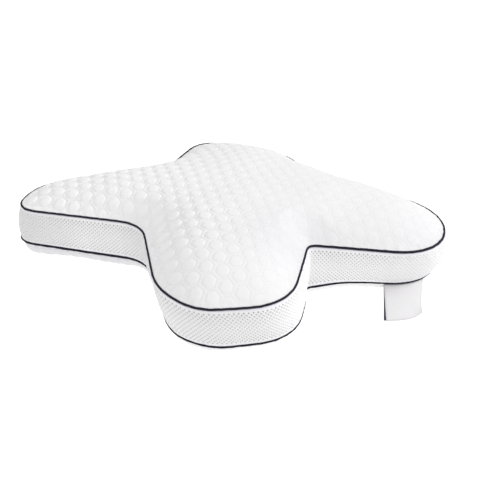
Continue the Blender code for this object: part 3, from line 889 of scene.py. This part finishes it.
def make_band(seams, material):
    """Spacer mesh: a diagonal net with open holes, plain rolled margins and a plain inner face."""
    band = Band(seams, np.random.default_rng(23))
    columns = 2 * int(round(seams.perimeter / HOLE_ACROSS))
    half = columns // 2
    bottom = band.low + MARGIN
    rows = 2 * int(round((band.high - band.low - 2 * MARGIN) / HOLE_UP))
    up = (band.high - band.low - 2 * MARGIN) / rows
    across = seams.perimeter / columns
    step_places = np.append(seams.places(columns), DENSE_COUNT)
    made = []
    starts = {}
    total = 0

    def place_of(column):
        return np.interp(column % columns, np.arange(columns + 1.0), step_places)

    def add(key, column, height, proud, pit, margin):
        """One row of vertices round the band, kept under this key."""
        nonlocal total
        found = band.points(place_of(column), height, proud)
        starts[key] = total
        total += len(found)
        place = np.column_stack((column * across, np.full(len(column), height))) / MM
        # The last row is the painted light and shade along the band
        made.append((found, place, np.broadcast_to(pit, len(found)), np.full(len(found), margin),
                     np.interp(found[:, 0], PAINTED_SHADING_PLACES, PAINTED_SHADING_SHARES)))

    for row in range(rows + 1):
        crossing = np.arange(half) * 2.0 + (1 - row % 2)
        add(("crossing", row), crossing, bottom + row * up, YARN_RISE, 0.0, 0.0)
    reach_across = HOLE_REACH / across
    rim = [heading_of(turn * math.pi / 4) for turn in range(8)]
    for row in range(1, rows):
        middle = np.arange(half) * 2.0 + row % 2
        height = bottom + row * up
        from_middle = abs(2 * row / rows - 1)
        stretch = HOLE_SIZE[0] + HOLE_SIZE[1] * from_middle
        # Painted shade at the bottom of this row's holes: more near the seams, less towards the wing
        # tips
        shade = HOLE_PAINTED_SHADE[0] + HOLE_PAINTED_SHADE[1] * from_middle ** 2
        shade = shade * tip_shares(band, place_of(middle))
        for corner, (right, rise) in enumerate(rim):
            wide = (1.0 if corner % 2 == 0 else HOLE_DIAGONAL) * stretch
            add(("rim", row, corner), middle + right * reach_across * wide,
                height + rise * HOLE_REACH * wide, 0.0, HOLE_SHADE * shade, 0.0)
        add(("pit", row), middle, height, -HOLE_DEPTH, shade, 0.0)

    def joined(*parts):
        """Triangles from three rows of vertices, each given as its key and how far along it."""
        here = np.arange(half)
        return np.stack([starts[key] + (here + offset) % half for key, offset in parts], axis=1)

    faces = []
    for row in range(1, rows):
        odd = row % 2
        # The crossings to the left and right of a hole lie in its own row, the others above and below
        around = ((("crossing", row), odd), (("crossing", row + 1), 0),
                  (("crossing", row), odd - 1), (("crossing", row - 1), 0))
        pit = (("pit", row), 0)
        for quarter in range(4):
            first = around[quarter]
            second = around[(quarter + 1) % 4]
            near, mid, far = ((("rim", row, (2 * quarter + more) % 8), 0) for more in range(3))
            for parts in ((first, mid, near), (first, second, mid), (second, far, mid),
                          (near, mid, pit), (mid, far, pit)):
                faces.append(joined(*parts))
    # Half cells along both ends of the net are plain
    for row, inner in ((0, 1), (rows, rows - 1)):
        pair = ((("crossing", row), 0), (("crossing", row), 1))
        # The crossing between these two in the next row of the net
        between = (("crossing", inner), 1 - row % 2)
        faces.append(joined(*(pair if row == 0 else pair[::-1]), between))
    low_stations = np.arange(half) * 2.0 + 1
    high_stations = np.arange(half) * 2.0 + (1 - rows % 2)
    for number, (down, proud) in enumerate(MARGIN_PROFILE):
        add(("low", number), low_stations, band.low + down, proud, 0.0, 1.0)
    for number, (down, proud) in enumerate(MARGIN_PROFILE):
        add(("high", number), high_stations, band.high - down, proud, 0.0, 1.0)
    for number, share in enumerate(BACK_LEVELS):
        height = band.low + (band.high - band.low) * share
        proud = -BACKING - (BACK_TUCK if share in (0.0, 1.0) else 0.0)
        add(("back", number), low_stations, height, proud, 0.0, 0.0)
    low_keys = [("low", number) for number in range(len(MARGIN_PROFILE))]
    high_keys = [("high", number) for number in range(len(MARGIN_PROFILE))]
    back_keys = [("back", number) for number in range(len(BACK_LEVELS))]
    for chain in (low_keys + [("crossing", 0)],
                  [("crossing", rows)] + high_keys[::-1],
                  [high_keys[0]] + back_keys[::-1] + [low_keys[0]]):
        for lower, higher in zip(chain, chain[1:]):
            faces.append(ring_faces(starts[lower], starts[higher], half))
    points, places, *values = (np.concatenate(part) for part in zip(*made))
    item = new_mesh("mesh_band", points, faces)
    set_map(item, places)
    # The last value is the painted light and shade along the band
    for name, row in zip(("pit", "margin", "painted_shading"), values):
        set_value(item, name, row)
    item.data.materials.append(material)
    return item


def run_shares(centre, column):
    """The share of one column of the table of runs, blended along the seam."""
    places = np.array([(run.x, run.y) for run in RUNS])
    shares = np.array([getattr(run, column) for run in RUNS])
    apart = np.linalg.norm(centre[:, None] - places[None], axis=2)
    weight = np.exp(-apart / RUN_BLEND)
    return (weight @ shares) / weight.sum(axis=1)


def make_piping(name, seams, level, height, column, seed, material):
    """The tape covered cord along a seam. Its thickness and its line waver a little, as sewn."""
    random = np.random.default_rng(seed)
    places = seams.places(PIPING_STATIONS)
    waver = seam_noise(random, places, *PIPING_WAVER)
    rise = seam_noise(random, places, *PIPING_RISE)
    swell = 1 + seam_noise(random, places, *PIPING_SWELL)
    centre = seams.at(places, level, waver)
    # Points a metre outside give the outward directions
    outward = unit(seams.at(places, level, waver - 1.0) - centre)
    radius = PIPING_RADIUS * run_shares(centre, column) * swell
    rings = []
    maps = []
    along = np.arange(PIPING_STATIONS) * seams.perimeter / PIPING_STATIONS
    for side in range(PIPING_SIDES):
        angle = side * math.tau / PIPING_SIDES
        ring = centre + outward * (math.cos(angle) * radius)[:, None]
        rings.append(np.column_stack((ring, height + rise + math.sin(angle) * radius)))
        maps.append(np.column_stack((along, np.full(len(along), angle * PIPING_RADIUS))) / MM)
    faces = []
    for side in range(PIPING_SIDES):
        after = (side + 1) % PIPING_SIDES
        faces.append(ring_faces(side * PIPING_STATIONS, after * PIPING_STATIONS, PIPING_STATIONS))
    item = new_mesh(name, np.vstack(rings), faces)
    set_map(item, np.vstack(maps))
    item.data.materials.append(material)
    return item


def label_height(share):
    """Height of the label's middle plane, from the lower seam out to its folded edge near the floor."""
    start = SEAM_LOW - PIPING_RADIUS - LABEL_THICK / 2
    end = LABEL_CLEARANCE + LABEL_THICK / 2
    return end + (start - end) * (1 - share) ** LABEL_DROP_POWER


def make_label_ply(name, seams, material, lift=0.0, aside=0.0, longer=0.0):
    """One ply of the folded label: a thin sheet from the lower seam out to the folded edge."""
    lower = seams.dense(0, 0.0)
    ends = [int(np.linalg.norm(lower - end, axis=1).argmin()) for end in LABEL_SPAN]
    middle = lower[ends].mean(axis=0)
    heading = unit(np.array(LABEL_HEADING))
    sideways = np.array((heading[1], -heading[0]))
    share = np.repeat(np.linspace(0, 1, LABEL_ROWS), LABEL_COLUMNS)[:, None]
    across = np.tile(np.linspace(0, 1, LABEL_COLUMNS), LABEL_ROWS)[:, None]
    seam = seams.at((ends[0] + (ends[1] - ends[0]) * across)[:, 0], 0, 0.0)
    run = (LABEL_RUNS[0] + (LABEL_RUNS[1] - LABEL_RUNS[0]) * across + longer) * share
    drawn_in = LABEL_WAIST * np.sin(math.pi * share) * (1 - 2 * across)
    spots = seam + heading * run + (middle - seam) * LABEL_CURL * share
    spots = spots + sideways * (aside * share - drawn_in)
    ripple = LABEL_RIPPLE * np.sin(math.pi * RIPPLE_TURN * across + RIPPLE_START) * share
    ripple = ripple + CORNER_LIFT * share ** 3 * (2 * across - 1) ** 2
    heights = np.maximum(label_height(share) + lift + ripple, LABEL_CLEARANCE / 2)
    edges = (np.minimum(across, 1 - across) < SELVEDGE) | (share > 1 - SELVEDGE)
    index = np.arange(LABEL_ROWS * LABEL_COLUMNS).reshape(LABEL_ROWS, LABEL_COLUMNS)
    quads = np.stack((index[:-1, :-1], index[1:, :-1], index[1:, 1:], index[:-1, 1:]), axis=-1)
    item = new_mesh(name, np.hstack((spots, heights)), [quads.reshape(-1, 4)])
    set_value(item, "edge", edges[:, 0])
    set_map(item, np.hstack((across, share)) * LABEL_FLAT / MM)
    item.data.materials.append(material)
    solid = item.modifiers.new("cloth thickness", "SOLIDIFY")
    solid.thickness = LABEL_PLY
    solid.offset = 0.0
    return item


def make_floor():
    corners = np.array(((-1, -1, 0), (1, -1, 0), (1, 1, 0), (-1, 1, 0))) * FLOOR_HALF
    floor = new_mesh("floor", corners, [np.array(((0, 1, 2, 3),))], smooth=False)
    floor.location.z = -FLOOR_DROP
    floor.data.materials.append(floor_material())


def make_light(row):
    lamp = bpy.data.lights.new(row.name, "AREA")
    lamp.size = row.size
    lamp.energy = row.power
    item = bpy.data.objects.new(row.name, lamp)
    bpy.context.scene.collection.objects.link(item)
    item.location = row.place
    item.rotation_euler = (Vector(row.aim) - Vector(row.place)).to_track_quat("-Z", "Y").to_euler()


def light_scene():
    scene = bpy.context.scene
    scene.view_settings.view_transform = "Standard"
    scene.view_settings.look = "None"
    world = bpy.data.worlds.new("soft white room")
    world.use_nodes = True
    background = world.node_tree.nodes["Background"]
    background.inputs["Color"].default_value = (1.0, 1.0, 1.0, 1.0)
    background.inputs["Strength"].default_value = ROOM_LIGHT
    scene.world = world
    for row in LAMPS:
        make_light(row)


def make_camera():
    """The photograph's camera, with its little roll."""
    right = Vector((math.cos(CAMERA_AZIMUTH), math.sin(CAMERA_AZIMUTH), 0))
    level = math.cos(CAMERA_ELEVATION)
    back = Vector((math.sin(CAMERA_AZIMUTH) * level, -math.cos(CAMERA_AZIMUTH) * level,
                   math.sin(CAMERA_ELEVATION)))
    upward = back.cross(right)
    data = bpy.data.cameras.new("camera")
    data.lens = CAMERA_LENS
    data.sensor_width = CAMERA_SENSOR
    item = bpy.data.objects.new("camera", data)
    bpy.context.scene.collection.objects.link(item)
    side = right * math.cos(CAMERA_ROLL) + upward * math.sin(CAMERA_ROLL)
    top = upward * math.cos(CAMERA_ROLL) - right * math.sin(CAMERA_ROLL)
    turned = Matrix((side, top, back)).transposed().to_4x4()
    turned.translation = CAMERA_PLACE
    item.matrix_world = turned
    bpy.context.scene.camera = item


def main():
    seams = Seams()
    cover = make_cover(seams, knit_material())
    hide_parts("cushion")
    band = make_band(seams, mesh_material())
    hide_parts("side_band")
    tape = piping_material()
    top_piping = make_piping("top_piping", seams, 1, SEAM_HIGH, "top", 31, tape)
    low_piping = make_piping("low_piping", seams, 0, SEAM_LOW, "low", 37, tape)
    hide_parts("piping_top")
    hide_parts("piping_bottom")
    white = satin_material("white satin", (0.73, 0.72, 0.73), (0.79, 0.78, 0.79))
    dark = satin_material("dark satin", (0.010, 0.010, 0.026), (0.020, 0.020, 0.045))
    front = make_label_ply("label_front", seams, white, lift=0.0004)
    back = make_label_ply("label_back", seams, dark, lift=-0.0003, aside=0.0030, longer=-0.0012)
    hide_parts("label")
    for piece in (cover, band, top_piping, low_piping, front, back):
        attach(piece, "root")
    make_floor()
    light_scene()
    make_camera()


main()
